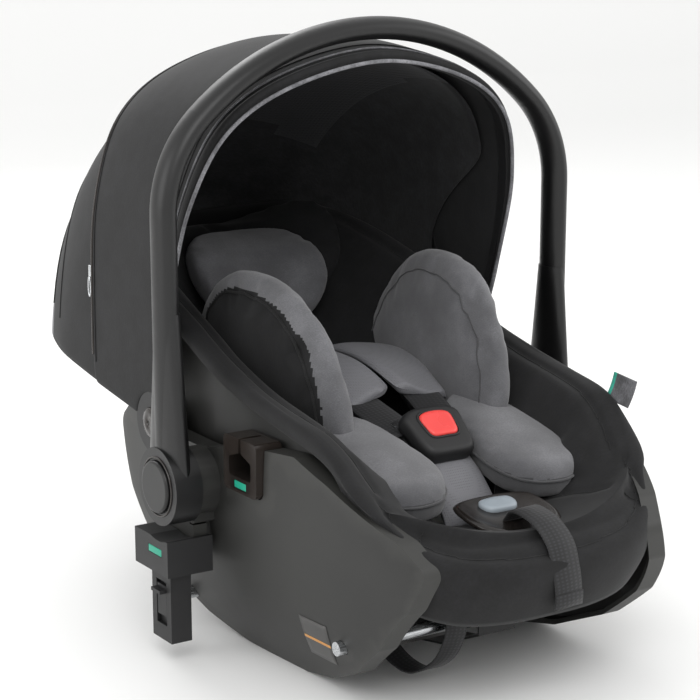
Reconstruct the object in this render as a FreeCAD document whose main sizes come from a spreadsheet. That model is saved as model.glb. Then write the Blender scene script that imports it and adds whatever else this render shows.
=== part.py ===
import FreeCAD, Part
import math
import os

# Infant car seat: a rocking carrier shell with a swinging carry handle, a folding hood,
# a padded seat with a newborn inlay, a buckled harness and pram adapters.
# Millimetres, +Z up, the child faces -Y, X = 0 is the plane of symmetry.
# The origin is on the floor, at the middle of the overall length.

V = FreeCAD.Vector
doc = FreeCAD.newDocument("InfantCarSeat")
sheet = doc.addObject("Spreadsheet::Sheet", "Dimensions")

CELLS = [
    ("pivot_y", -60, "handle axle, along the length"),
    ("pivot_z", 158, "handle axle, above the floor"),
    ("handle_half", 206, "handle leg centre from the plane of symmetry"),
    ("handle_rise", 378, "grip centre above the axle"),
    ("handle_straight", 230, "straight part of each handle leg"),
    ("leg_wide", 30, "handle section along Y"),
    ("leg_thick", 20, "handle section along X"),
    ("hub_radius", 34, "handle hub"),
    ("axle_radius", 5, "handle axle bolt"),
    ("button_radius", 23, "handle release button"),
    ("wall", 4, "moulded wall"),
    ("flange", 18, "inward flange of a side panel"),
    ("shell_half", 146, "bucket half width"),
    ("side_half", 172, "side panel outer half width"),
    ("hood_y", 26, "hood pivot, along the length"),
    ("hood_z", 190, "hood pivot, above the floor"),
    ("hood_radius", 336, "hood radius at the middle"),
    ("hood_half", 176, "hood half width"),
    ("cloth", 2, "hood fabric"),
    ("bar_radius", 6, "base lock bar"),
    ("web_wide", 38, "harness webbing width"),
    ("web_thick", 2, "harness webbing thickness"),
    ("post_x", 20, "adapter post section along X"),
    ("post_y", 34, "adapter post section along Y"),
    ("post_long", 62, "adapter post below its collar"),
    ("recline", 39, "backrest angle above the floor, degrees"),
    ("crease_y", 40, "where seat and back meet"),
    ("crease_z", 72, "where seat and back meet"),
    ("corner_radius", 110, "handle corner bend"),
    ("liner", 12, "energy absorbing foam"),
    ("headrest_travel", 20, "headrest height adjustment"),
]
for row, (alias, value, note) in enumerate(CELLS, start=1):
    sheet.set(f"A{row}", alias)
    sheet.set(f"B{row}", str(value))
    sheet.set(f"C{row}", note)
    sheet.setAlias(f"B{row}", alias)
doc.recompute()
D = {alias: float(getattr(sheet, alias)) for alias, _, _ in CELLS}
PIVOT = V(0, D["pivot_y"], D["pivot_z"])
SIDES = (("left", -1), ("right", 1))
NODES = []


# ---------------------------------------------------------------- helpers
def node(obj, label):
    """Marks an object as a sub-part that is written to a file of its own."""
    obj.Label = label
    NODES.append(obj)
    return obj


def feature(label, shape):
    """A sub-part whose shape is set directly."""
    obj = doc.addObject("Part::Feature", label)
    obj.Shape = shape.removeSplitter() if shape.ShapeType != "Compound" else shape
    return node(obj, label)


def bind(obj, **expressions):
    for prop, text in expressions.items():
        obj.setExpression(prop.replace("__", "."), str(text))
    return obj


def bound_box(name, long_x, long_y, long_z, x, y, z):
    """A Part::Box whose size and corner are expressions of the sheet."""
    obj = doc.addObject("Part::Box", name)
    bind(obj, Length=long_x, Width=long_y, Height=long_z)
    return bind(obj, Placement__Base__x=x, Placement__Base__y=y, Placement__Base__z=z)


def bound_rod(name, radius, length, x, y, z):
    """A Part::Cylinder along +X from (x, y, z), bound to the sheet."""
    obj = doc.addObject("Part::Cylinder", name)
    obj.Placement = FreeCAD.Placement(V(), FreeCAD.Rotation(V(0, 1, 0), 90))
    bind(obj, Radius=radius, Height=length)
    return bind(obj, Placement__Base__x=x, Placement__Base__y=y, Placement__Base__z=z)


def cut_of(name, base, tool):
    obj = doc.addObject("Part::Cut", name)
    obj.Base, obj.Tool = base, tool
    return obj


def face_yz(points, x=0.0):
    """A flat face in the plane X = x from (y, z) points."""
    return Part.Face(Part.makePolygon([V(x, y, z) for y, z in points + points[:1]]))


def prism(points, x0, x1):
    """A profile in the YZ plane, extruded from x0 to x1."""
    return face_yz(points, x0).extrude(V(x1 - x0, 0, 0))


def rounded(points, radius):
    """The wire of a YZ polygon with each corner rounded by an arc."""
    edges = []
    ends = []
    count = len(points)
    for i, (y, z) in enumerate(points):
        here = V(0, y, z)
        back = V(0, *points[i - 1]) - here
        ahead = V(0, *points[(i + 1) % count]) - here
        half = back.getAngle(ahead) / 2
        reach = min(radius / math.tan(half), 0.45 * back.Length, 0.45 * ahead.Length)
        a = here + back.normalize() * reach
        b = here + ahead.normalize() * reach
        middle = (back + ahead).normalize()
        r = reach * math.tan(half)
        mid = here + middle * (reach / math.cos(half) - r)
        ends.append((a, mid, b))
    for i, (a, mid, b) in enumerate(ends):
        edges.append(Part.Arc(a, mid, b).toShape())
        edges.append(Part.makeLine(b, ends[(i + 1) % count][0]))
    return Part.Wire(edges)


def rounded_prism(points, radius, x0, x1):
    face = Part.Face(rounded(points, radius))
    face.translate(V(x0, 0, 0))
    return face.extrude(V(x1 - x0, 0, 0))


def mirrored(shape, side):
    """The shape as built on +X, or its mirror image on -X."""
    return shape if side > 0 else shape.mirror(V(), V(1, 0, 0))


def rod_x(radius, x0, x1, y, z):
    return Part.makeCylinder(radius, x1 - x0, V(x0, y, z), V(1, 0, 0))


def block(x0, x1, y0, y1, z0, z1):
    return Part.makeBox(x1 - x0, y1 - y0, z1 - z0, V(x0, y0, z0))


def strip(points, thick, x0, x1):
    """Webbing: a band of even thickness along a YZ line, from x0 to x1 wide."""
    upper, lower = [], []
    for i, (y, z) in enumerate(points):
        before = V(0, *points[max(i - 1, 0)])
        after = V(0, *points[min(i + 1, len(points) - 1)])
        run = (after - before).normalize()
        upper.append((y - run.z * thick / 2, z + run.y * thick / 2))
        lower.append((y + run.z * thick / 2, z - run.y * thick / 2))
    return prism(upper + lower[::-1], x0, x1)


ALONG = V(0, math.cos(math.radians(D["recline"])), math.sin(math.radians(D["recline"])))
OUTWARD = V(0, -ALONG.z, ALONG.y)


def back_point(s, n):
    """A YZ point on the backrest: s up from the crease, n out towards the child."""
    p = V(0, D["crease_y"], D["crease_z"]) + ALONG * s + OUTWARD * n
    return p.y, p.z


def back_slab(s0, s1, n0, n1, x0, x1, radius):
    corners = [back_point(s, n) for s, n in ((s0, n0), (s1, n0), (s1, n1), (s0, n1))]
    return rounded_prism(corners, radius, x0, x1)


# ---------------------------------------------------------------- moulded shell
# Bucket stations: y, rim half width, rim z, floor z.
BUCKET = [
    (-318, 84, 132, 104),
    (-290, 116, 150, 92),
    (-230, 132, 200, 70),
    (-160, 140, 218, 52),
    (-100, 144, 232, 44),
    (-40, 146, 248, 42),
    (20, 146, 272, 46),
    (100, 142, 300, 84),
    (200, 132, 320, 160),
    (270, 116, 322, 214),
    (312, 84, 300, 244),
]
ENVELOPE = [
    (-330, 112, 100),
    (-270, 146, 112),
    (-190, 162, 118),
    (-100, 171, 124),
    (-20, 172, 126),
    (60, 168, 122),
    (130, 160, 116),
]
PANEL = [
    (-322, 134), (-300, 156), (-232, 190), (-190, 206), (-150, 203), (-100, 196),
    (-60, 186), (20, 186), (92, 192), (112, 176), (96, 112), (56, 44), (0, 12),
    (-60, 0), (-150, 0), (-196, 10), (-250, 34), (-288, 66), (-314, 104),
]


def bucket_section(y, half, rim, floor, inset, lift):
    half -= inset
    floor += inset
    deep = rim - floor
    left = [(-half, rim + lift), (-half * 0.97, rim - deep * 0.55), (-half * 0.62, floor)]
    points = left + [(0, floor - 1)] + [(-x, z) for x, z in left[::-1]]
    curve = Part.BSplineCurve()
    curve.interpolate([V(x, y, z) for x, z in points])
    top = Part.makeLine(V(half, y, rim + lift), V(-half, y, rim + lift))
    return Part.Wire([curve.toShape(), top])


def bucket(inset, lift):
    stations = [bucket_section(*s, inset, lift) for s in BUCKET]
    return Part.makeLoft(stations, True, True)


def envelope(inset):
    """The bulged outer form that both side panels are trimmed to."""
    stations = []
    for y, upper, lower in ENVELOPE:
        side = [(upper - 2 - inset, 212), (upper - inset, 140), (lower + 32 - inset, 60), (lower - inset, -4)]
        curve = Part.BSplineCurve()
        curve.interpolate([V(x, y, z) for x, z in side])
        other = Part.BSplineCurve()
        other.interpolate([V(-x, y, z) for x, z in side[::-1]])
        base = Part.makeLine(V(side[-1][0], y, -4), V(-side[-1][0], y, -4))
        top = Part.makeLine(V(-side[0][0], y, 212), V(side[0][0], y, 212))
        stations.append(Part.Wire([curve.toShape(), base, other.toShape(), top]))
    return Part.makeLoft(stations, True, False)


def panel_face(offset):
    wire = rounded(PANEL, 14)
    if offset:
        wire = wire.makeOffset2D(offset)
    return Part.Face(wire)


def side_slab(offset):
    face = panel_face(offset)
    face.translate(V(60, 0, 0))
    return face.extrude(V(140, 0, 0))


outer, skin, inside = envelope(0), envelope(D["wall"]), envelope(D["flange"])
wall = outer.cut(skin).common(side_slab(0))
ring = outer.cut(inside).common(side_slab(0).cut(side_slab(-D["wall"])))
panel_right = wall.fuse(ring).removeSplitter()
belt_hole = rounded_prism([(-152, 160), (-96, 160), (-96, 216), (-152, 216)], 6, 120, 190)
bar_front = (-240, 55)
bar_rear = (10, 30)
bar_holes = rod_x(D["bar_radius"] + 0.3, 90, 190, *bar_front).fuse(
    rod_x(D["bar_radius"] + 0.3, 90, 190, *bar_rear)
)
panel_right = panel_right.cut(belt_hole).cut(bar_holes.common(block(90, 162, -400, 400, 0, 200)))

# ribs that carry the bucket, the boss for the handle, the adapter tongue and the hood bracket
for y in (-196, 62):
    rib = block(118, D["side_half"], y - 2, y + 2, 46, 176).common(envelope(D["wall"] / 2))
    rib = rib.common(side_slab(-2)).cut(bucket(-0.2, 4))
    panel_right = panel_right.fuse(max(rib.Solids, key=lambda s: s.Volume))
boss = rod_x(30, 169, 191, PIVOT.y, PIVOT.z)
boss = boss.fuse(rounded_prism([(-76, 124), (-44, 124), (-44, 150), (-76, 150)], 3, 169, 191))
boss = boss.cut(rod_x(20, 181, 195, PIVOT.y, PIVOT.z).cut(rod_x(9, 180, 196, PIVOT.y, PIVOT.z)))
tongue = block(176.5, 190, -72, -24, 92, 122).fuse(block(160, 190, -66, -30, 104, 134))
tongue = tongue.cut(envelope(1))
bracket = block(156, 171.5, D["hood_y"] - 14, D["hood_y"] + 14, 168, D["hood_z"] + 12)
bracket = bracket.common(envelope(0).fuse(block(156, 171.5, -60, 100, 180, 220))).cut(bucket(-0.5, 4))
stub = rod_x(3, 165, 179.5, D["hood_y"], D["hood_z"])
panel_right = panel_right.fuse(boss).fuse(tongue).fuse(bracket).fuse(stub).removeSplitter()
panel_right = panel_right.cut(rod_x(D["axle_radius"] + 0.05, 120, 195, PIVOT.y, PIVOT.z))
panel_right = max(panel_right.Solids, key=lambda s: s.Volume)

beam = block(-126, 126, -228, -224, 44, 90).fuse(block(-126, 126, -228, -200, 40, 44))
shell = bucket(0, 0).cut(bucket(D["wall"], 6))
keep_out = block(60, 200, -329.5, 129.5, -3.9, 211.9).cut(envelope(D["flange"] + 0.6))
shell = shell.cut(keep_out).cut(keep_out.mirror(V(), V(1, 0, 0)))
harness_slots = [back_slab(s, s + 8, -60, 60, x - 24, x + 24, 2) for s in (170, 230) for x in (-44, 44)]
for slot in harness_slots:
    shell = shell.cut(slot)
crotch_slot = block(-24, 24, -112, -104, 20, 120)
adjuster_hole = block(-26, 26, -278, -226, 30, 150)
shell = shell.fuse(beam.cut(bucket(D["wall"] / 2, 6))).cut(crotch_slot).cut(adjuster_hole)
feature("seat_shell", shell)
for word, side in SIDES:
    feature(f"side_panel_{word}", mirrored(panel_right, side))

# ---------------------------------------------------------------- base lock bars
for label, (y, z), half in (("base_bar_front", bar_front, 152), ("base_bar_rear", bar_rear, 156)):
    rod = bound_rod(label, "Dimensions.bar_radius", 2 * half, -half, y, z)
    node(rod, label)

# ---------------------------------------------------------------- belt guides
guide = rounded_prism([(-151, 161), (-97, 161), (-97, 208), (-151, 208)], 5, 148, 173)
recess = rounded_prism([(-142, 174), (-106, 174), (-106, 190), (-124, 196), (-142, 190)], 3, 152, 180)
mouth = block(152, 180, -126, -122, 188, 214)
guide = guide.cut(recess).cut(mouth)
marker = block(171.4, 174, -134, -114, 164, 171)
guide = guide.cut(marker)
for word, side in SIDES:
    feature(f"belt_guide_{word}", mirrored(guide, side))

# ---------------------------------------------------------------- handle pivots
# A boss on each panel carries the axle; the handle's hub turns on the boss's outer face.
for word, side in SIDES:
    start = 150 if side > 0 else -213
    axle = bound_rod(
        f"handle_axle_{word}", "Dimensions.axle_radius", 63, start,
        "Dimensions.pivot_y", "Dimensions.pivot_z",
    )
    node(axle, f"handle_axle_{word}")
    # crest-to-crest wave spring: three flat rings that meet at staggered crests
    spring = None
    for turn in range(3):
        at = V(181.5 + 3.9 * turn, PIVOT.y, PIVOT.z)
        ring = Part.makeCylinder(15, 1.2, at, V(1, 0, 0)).cut(Part.makeCylinder(13, 1.2, at, V(1, 0, 0)))
        spring = ring if spring is None else spring.fuse(ring)
        for crest in range(3) if turn < 2 else ():
            pad = Part.makeBox(3.1, 3, 1.2, V(at.x + 1, PIVOT.y - 1.5, PIVOT.z + 13.4))
            pad.rotate(V(0, PIVOT.y, PIVOT.z), V(1, 0, 0), 120 * crest + 60 * turn)
            spring = spring.fuse(pad)
    feature(f"handle_lock_spring_{word}", mirrored(spring, side))


def handle_path():
    """The handle's centre line: straight legs, corner arcs and one crown arc, all tangent."""
    half, rise, straight = D["handle_half"], D["handle_rise"], D["handle_straight"]
    bend = D["corner_radius"]
    inset, gap = half - bend, rise - straight
    crown = (inset**2 + gap**2 - bend**2) / (2 * (gap - bend))
    centre = rise - crown
    spread = math.hypot(inset, straight - centre)
    join = V(inset * crown / spread, 0, centre + (straight - centre) * crown / spread)
    half_turn = math.atan2(join.z - straight, join.x - inset) / 2
    corner = V(inset + bend * math.cos(half_turn), 0, straight + bend * math.sin(half_turn))

    def left(p):
        return V(-p.x, p.y, p.z)

    foot, shoulder = V(half, 0, 20), V(half, 0, straight)
    edges = [
        Part.makeLine(foot, shoulder),
        Part.Arc(shoulder, corner, join).toShape(),
        Part.Arc(join, V(0, 0, rise), left(join)).toShape(),
        Part.Arc(left(join), left(corner), left(shoulder)).toShape(),
        Part.makeLine(left(shoulder), left(foot)),
    ]
    wire = Part.Wire(edges)
    wire.translate(PIVOT)
    return wire


section = Part.Wire(
    Part.Ellipse(PIVOT + V(D["handle_half"], 0, 20), D["leg_wide"] / 2, D["leg_thick"] / 2).toShape()
)
section.rotate(PIVOT + V(D["handle_half"], 0, 20), V(0, 0, 1), 90)
bail = handle_path().makePipeShell([section], True, False)
for word, side in SIDES:
    flare_low = Part.Wire(Part.Ellipse(PIVOT + V(0, 0, 14), 31, 11).toShape())
    flare_high = Part.Wire(Part.Ellipse(PIVOT + V(0, 0, 150), D["leg_wide"] / 2, 9.6).toShape())
    flare = Part.makeLoft([flare_low, flare_high], True)
    flare.rotate(PIVOT, V(0, 0, 1), 90)
    flare.translate(V(204.6, 0, 0))
    hub = rod_x(D["hub_radius"], 191.4, 217, PIVOT.y, PIVOT.z)
    hub = hub.fuse(flare.common(block(191.4, 220, -200, 200, 0, 400)))
    bail = bail.fuse(mirrored(hub, side))
for word, side in SIDES:
    pocket = rod_x(D["button_radius"] + 0.4, 205, 222, PIVOT.y, PIVOT.z)
    bore = rod_x(D["axle_radius"] + 0.06, 190, 222, PIVOT.y, PIVOT.z)
    teeth = rod_x(24, 190, 198, PIVOT.y, PIVOT.z)
    bail = bail.cut(mirrored(pocket.fuse(bore).fuse(teeth), side))
feature("handle_bail", bail)

for word, side in SIDES:
    gear = rod_x(23.7, 191.6, 197.7, PIVOT.y, PIVOT.z)
    gear = gear.cut(rod_x(D["axle_radius"] + 0.06, 190, 199, PIVOT.y, PIVOT.z))
    for k in range(12):
        tooth = block(190, 196, -3, 3, 17, 26)
        tooth.rotate(V(), V(1, 0, 0), 30 * k)
        tooth.translate(PIVOT)
        gear = gear.cut(tooth)
    feature(f"handle_lock_gear_{word}", mirrored(gear, side))
    button = rod_x(D["button_radius"], 209.5, 221, PIVOT.y, PIVOT.z)
    rim = [e for e in button.Edges if abs(e.CenterOfMass.x - 221) < 0.1 and e.Length > 100]
    button = button.makeFillet(2.5, rim)
    button = button.cut(rod_x(D["axle_radius"] + 0.5, 205, 218, PIVOT.y, PIVOT.z))
    feature(f"handle_button_{word}", mirrored(button, side))

# ---------------------------------------------------------------- pram adapters

for word, side in SIDES:
    low_x, high_x = (174, 218)
    collar = block(low_x, high_x, -77, -17, 80, 112)
    collar = collar.cut(block(175.5, 191, -73, -23, 88, 130))
    collar = collar.cut(rod_x(D["hub_radius"] + 14, 150, 230, PIVOT.y, PIVOT.z))
    collar = collar.cut(outer).cut(block(150, 191, -67.5, -28.5, 102, 140))
    window = block(high_x - 1.2, high_x + 1, -66, -42, 96, 103)
    collar = collar.cut(window)
    collar = max(collar.Solids, key=lambda s: s.Volume)
    x0 = 193 if side > 0 else -193 - D["post_x"]
    blank = bound_box(
        f"post_blank_{word}", "Dimensions.post_x", "Dimensions.post_y", "Dimensions.post_long + 4",
        x0, -72, "80 - Dimensions.post_long",
    )
    slot_x = 209 if side > 0 else -214
    pocket = bound_box(f"post_pocket_{word}", 5, 18, 40, slot_x, -64, 32)
    post = cut_of(f"post_cut_{word}", blank, pocket)
    head = doc.addObject("Part::Feature", f"collar_{word}")
    head.Shape = mirrored(collar, side)
    whole = doc.addObject("Part::MultiFuse", f"adapter_fuse_{word}")
    whole.Shapes = [post, head]
    doc.recompute()
    node(whole, f"adapter_body_{word}")
    lever = block(209.4, 212.6, -63, -47, 40, 68).fuse(block(209.4, 219, -63, -47, 62, 65))
    feature(f"adapter_lever_{word}", mirrored(lever, side))

# ---------------------------------------------------------------- hood
HOOD = V(0, D["hood_y"], D["hood_z"])


def hood_profile(grow):
    """Hood radius against half width, as XZ points about the hood's pivot."""
    r, w = D["hood_radius"] + grow, D["hood_half"] + 0.35 * grow
    return [(w, 26), (w, r * 0.42), (w * 0.965, r * 0.64), (w * 0.82, r * 0.83), (w * 0.5, r * 0.945), (0, r)]


def hood_band(grow, start, end, thick):
    def outline(g):
        half = hood_profile(g)
        points = half + [(-x, r) for x, r in half[-2::-1]]
        curve = Part.BSplineCurve()
        curve.interpolate([V(x, r, 0) for x, r in points])
        return curve.toShape()

    a, b = outline(grow), outline(grow - thick)
    ends = [Part.makeLine(a.Vertexes[i].Point, b.Vertexes[i].Point) for i in (0, 1)]
    wire = Part.Wire(Part.sortEdges([a, b] + ends)[0])
    solid = Part.Face(wire).revolve(V(), V(1, 0, 0), end - start)
    solid.rotate(V(), V(1, 0, 0), start)
    solid.translate(HOOD)
    return solid


feature("hood_front_fabric", hood_band(6, 8, 106, D["cloth"]).common(block(-300, 300, -400, 138, 100, 700)))
bow = hood_band(3.6, 103, 106, 5)
band = hood_band(6, 106.05, 108, 8)
rear_skin = hood_band(-3.6, 8, 64, D["cloth"])
rear = [
    rear_skin.common(block(-300, 300, -400, 262, 100, 700)),
    rear_skin.common(block(-300, 300, 262.02, 500, 100, 700)),
    hood_band(-5.9, 61, 64, 4),
]
for side in (-1, 1):
    hub = mirrored(rod_x(28, 173, 177, HOOD.y, HOOD.z), side)
    bow = bow.fuse(hub).cut(mirrored(rod_x(3.06, 140, 190, HOOD.y, HOOD.z), side))
    clear = mirrored(rod_x(28.6, 150, 190, HOOD.y, HOOD.z), side)
    band = band.cut(clear)
    rear = [piece.cut(clear) for piece in rear]
feature("hood_front_bow", bow)
feature("hood_rim_band", band)
for label, piece in zip(("hood_rear_fabric", "hood_rear_mesh", "hood_rear_bow"), rear):
    feature(label, piece)

feature("zip_pull", block(-178.2, -176.3, 138.2, 143, 292, 316))

# ---------------------------------------------------------------- foam and padding
inset = D["wall"] + 1
liner_inset = inset + D["liner"]
liner = bucket(inset, -4).cut(bucket(liner_inset, 6)).cut(keep_out).cut(keep_out.mirror(V(), V(1, 0, 0)))
for slot in harness_slots:
    liner = liner.cut(slot)
liner = liner.cut(block(-26, 26, -114, -100, 20, 120)).cut(adjuster_hole)
liner = max(liner.Solids, key=lambda s: s.Volume)
feature("foam_liner", liner)
liner_room = bucket(inset, -4).cut(bucket(liner_inset + 0.6, 8))

seat_form = prism([(-268, 40), (-268, 122), (-60, 96), (42, 74), (80, 30), (0, 20)], -150, 150)
seat_line = [(-268, 106), (-268, 122), (-60, 96), (39, 74.4), (34, 72), (-40, 66), (-100, 68), (-160, 78), (-230, 94)]
seat_cushion = rounded_prism(seat_line, 2, -100, 100).cut(liner_room)
seat_cushion = seat_cushion.cut(block(-27, 27, -116, -98, 20, 200)).cut(block(-24, 24, -275, -236, 90, 150))
feature("seat_cushion", max(seat_cushion.Solids, key=lambda s: s.Volume))
back_cushion = back_slab(2, 196, -14, 0, -94, 94, 2).cut(liner_room).cut(seat_form)
for slot in harness_slots:
    back_cushion = back_cushion.cut(slot)
feature("back_cushion", max(back_cushion.Solids, key=lambda s: s.Volume))

bolster_form = [(-256, 128), (-250, 184), (-215, 220), (-160, 232), (-50, 260), (20, 286), (120, 320),
                (196, 300), (172, 190), (60, 100), (-40, 96)]
for word, side in SIDES:
    bolster = rounded_prism(bolster_form, 8, 104, 150).common(bucket(liner_inset + 0.6, 24)).cut(seat_form)
    bolster = bolster.cut(back_slab(-60, 400, -120, 0.2, 90, 160, 1)).cut(liner_room)
    bolster = max(bolster.Solids, key=lambda s: s.Volume)
    feature(f"side_bolster_{word}", mirrored(bolster, side))

# the padded rim over the front edge of the bucket
rim_form = [(-333, 98), (-333, 126), (-320, 146), (-270, 158), (-258, 158), (-258, 122), (-300, 116)]
rim = rounded_prism(rim_form, 8, -138, 138)
flange_room = outer.cut(envelope(D["flange"] + 0.6)).common(side_slab(0.5))
rim = rim.cut(bucket(-0.6, 0)).cut(flange_room).cut(flange_room.mirror(V(), V(1, 0, 0))).cut(seat_form)
rim = rim.cut(block(-40, 40, -306, -228, 134, 190))
rim = rim.cut(block(116, 200, -400, -283, 90, 200)).cut(block(-200, -116, -400, -283, 90, 200))
feature("front_rim_pad", max(rim.Solids, key=lambda s: s.Volume))

# ---------------------------------------------------------------- newborn inlay
for word, side in SIDES:
    wing = rounded_prism([(-128, 150), (-138, 232), (-104, 284), (-40, 300), (30, 292), (70, 240), (52, 170),
                          (10, 122), (-70, 116)], 26, 74, 103.6)
    wing = wing.cut(back_slab(-60, 400, -120, 0.6, 60, 160, 1))
    feature(f"inlay_wing_{word}", mirrored(wing, side))
    thigh = rounded_prism([(-229, 112), (-229, 172), (-168, 197), (-148, 190), (-148, 100)], 12, 32, 100)
    thigh = thigh.cut(seat_form)
    feature(f"inlay_thigh_pad_{word}", mirrored(thigh, side))
inlay_seat = rounded_prism([(-222, 112), (-216, 142), (-194, 164), (-164, 164), (-160, 100)], 4, -29, 29).cut(seat_form)
feature("inlay_seat_panel", max(inlay_seat.Solids, key=lambda s: s.Volume))
inlay_back = back_slab(36, 196, 0.8, 20, -72, 72, 8)
for slot in harness_slots:
    inlay_back = inlay_back.cut(slot)
feature("inlay_back_pad", inlay_back)

# ---------------------------------------------------------------- headrest
feature("headrest_board", back_slab(204, 286, 1, 4, -76, 76, 1))
pad = back_slab(203, 290, 4.1, 38, -84, 84, 10)
for side in (-1, 1):
    pad = pad.fuse(mirrored(back_slab(206, 288, 24, 92, 64, 84, 14), side))
feature("headrest_pad", pad)
feature("inlay_head_pad", back_slab(206, 286, 38.1, 54, -56, 56, 7))

# ---------------------------------------------------------------- harness
thick = D["web_thick"]
for word, side in SIDES:
    near, far = (28, 28 + D["web_wide"] - 8)
    path = [back_point(174, -18), back_point(174, 22), back_point(166, 40), (-20, 206), (-110, 196), (-142, 193)]
    shoulder = strip(path, thick, near, far)
    pad_path = [back_point(160, 50), (-14, 216), (-104, 205)]
    cover = strip(pad_path, 9, 20, 66).cut(shoulder)
    feature(f"shoulder_pad_{word}", mirrored(max(cover.Solids, key=lambda s: s.Volume), side))
    tongue = rounded_prism([(-150, 192), (-126, 197), (-130, 203), (-154, 198)], 1.5, 8, 27.6)
    feature(f"buckle_tongue_{word}", mirrored(tongue, side))
    lap = strip([(-142, 195), (-132, 182), (-84, 160), (-20, 134)], thick, 30, 72)
    webbing = shoulder.fuse(lap)
    feature(f"harness_strap_{word}", mirrored(max(webbing.Solids, key=lambda s: s.Volume), side))

buckle = rounded_prism([(-180, 172), (-190, 200), (-170, 216), (-146, 206), (-142, 182)], 5, -27, 27)
buckle_gap = block(-16, 16, -182, -168, 200, 229)
buckle = buckle.cut(buckle_gap).cut(rounded_prism([(-156, 188), (-120, 195), (-124, 207), (-158, 202)], 1, -28, 28))
feature("buckle_housing", max(buckle.Solids, key=lambda s: s.Volume))
red = rounded_prism([(-181.2, 204), (-181.2, 211), (-168.8, 220), (-168.8, 204)], 1.5, -15, 15)
feature("buckle_button", red)
feature("crotch_strap", strip([(-108, 22), (-108, 112), (-124, 146), (-144, 176)], thick, -19, 19))
crotch_pad = rounded_prism([(-124.6, 156), (-108, 166), (-110, 186), (-118, 188), (-124.6, 176)], 3, -30, 30)
feature("crotch_pad", crotch_pad)

# ---------------------------------------------------------------- harness adjuster in the front rim
bezel = rounded_prism([(-304, 137), (-304, 147), (-290, 155), (-246, 157), (-230, 151), (-230, 137)], 3, -35, 35)
bezel = bezel.cut(block(-15, 15, -262, -238, 130, 175)).cut(block(-21, 21, -290, -280, 130, 175))
bezel = bezel.cut(shell).cut(rim)
feature("adjuster_bezel", max(bezel.Solids, key=lambda s: s.Volume))
key = rounded_prism([(-261, 143), (-261, 158), (-250, 159.4), (-239, 157.6), (-239, 143)], 1.5, -14, 14)
feature("adjuster_button", key)
feature("adjuster_clamp", rounded_prism([(-262, 118), (-262, 132), (-244, 134), (-240, 118)], 3, -22, 22))
loose_end = [(-285, 142), (-285, 161), (-300, 162), (-322, 158), (-337, 142), (-341, 112), (-343, 82)]
feature("adjuster_strap", strip(loose_end, 3, -19, 19))
tail = [(-254, 112), (-254, 44), (-200, 20), (-140, 9), (-60, 11), (22, 17), (60, 40), (110, 76), (150, 108)]
feature("harness_tail_strap", strip(tail, thick, -19, 19).cut(bucket(-1, 0)))
yoke = back_slab(150, 196, -64, -61, -50, 50, 1).cut(back_slab(160, 164, -70, -50, -20, 20, 1))
feature("harness_yoke", yoke)

feature("size_tag", block(103, 104.2, -282, -257, 158.2, 190))

# ---------------------------------------------------------------- write the sub-parts
doc.recompute()
os.makedirs("parts", exist_ok=True)
for name in os.listdir("parts"):
    os.remove(os.path.join("parts", name))
for obj in doc.Objects:
    if "Invalid" in obj.State or "Error" in obj.State:
        raise RuntimeError(f"{obj.Label} failed: {obj.State}")
box = FreeCAD.BoundBox()
for obj in NODES:
    shape = obj.Shape
    if shape.isNull() or not shape.isValid() or not shape.Solids:
        raise RuntimeError(f"{obj.Label} has no valid solid")
    exact = shape.optimalBoundingBox(True, False)
    box.add(exact)
# the origin goes on the floor at the middle of the length
shift = V(0, -(box.YMin + box.YMax) / 2, -box.ZMin)
for obj in NODES:
    shape = obj.Shape.copy()
    shape.translate(shift)
    shape.exportStep(os.path.join("parts", f"{obj.Label}.step"))
print("nodes", len(NODES), "shift", shift, "box", box)
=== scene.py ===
"""Infant car seat: soft goods, hood, harness, moulded parts and studio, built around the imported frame."""
import math

import bmesh
import bpy
from mathutils import Matrix, Vector, kdtree, noise


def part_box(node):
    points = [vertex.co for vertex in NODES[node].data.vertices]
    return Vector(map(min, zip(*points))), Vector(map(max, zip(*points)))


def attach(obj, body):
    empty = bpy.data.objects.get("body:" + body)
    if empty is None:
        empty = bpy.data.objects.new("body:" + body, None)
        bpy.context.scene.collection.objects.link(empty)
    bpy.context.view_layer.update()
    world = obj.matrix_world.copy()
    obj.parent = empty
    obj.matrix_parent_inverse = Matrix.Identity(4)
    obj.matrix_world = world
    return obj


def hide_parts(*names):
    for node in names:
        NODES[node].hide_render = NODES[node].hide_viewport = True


bl_info = {
    "name": "Infant car seat",
    "version": (1, 0, 0),
    "blender": (4, 5, 0),
    "location": "View3D > Sidebar > Car Seat",
    "description": "Builds an infant carrier seat with hood, inlay, harness and studio",
    "category": "Object",
}

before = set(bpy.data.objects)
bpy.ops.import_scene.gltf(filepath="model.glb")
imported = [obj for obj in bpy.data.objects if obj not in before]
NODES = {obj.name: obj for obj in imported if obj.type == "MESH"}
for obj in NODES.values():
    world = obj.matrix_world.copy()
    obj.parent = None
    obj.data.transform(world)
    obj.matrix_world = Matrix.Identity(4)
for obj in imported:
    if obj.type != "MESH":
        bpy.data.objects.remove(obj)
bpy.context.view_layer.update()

# The seat's own measures are in millimetres from the middle of the rocker runners; the frame's
# origin lies at the middle of the overall length, so one shift in Y joins the two.
AXLE_Y = -60.0
PIVOT_Z = 158.0
SHIFT_Y = 500 * sum(corner.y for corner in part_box("handle_axle_left")) - AXLE_Y
HOOD_Y, HOOD_Z, HOOD_R, HOOD_W = 26.0, 190.0, 336.0, 176.0
RECLINE = math.radians(39)
WING_BORDER = 0.86  # where the wing's grey border meets its black side, as a share of the way to its edge
SIDES = (("left", -1), ("right", 1))


# ---------------------------------------------------------------- measures and meshes
def mm(x, y, z):
    """A point in the frame, in metres, from the seat's own millimetres."""
    return Vector((x / 1000, (y + SHIFT_Y) / 1000, z / 1000))


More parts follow.
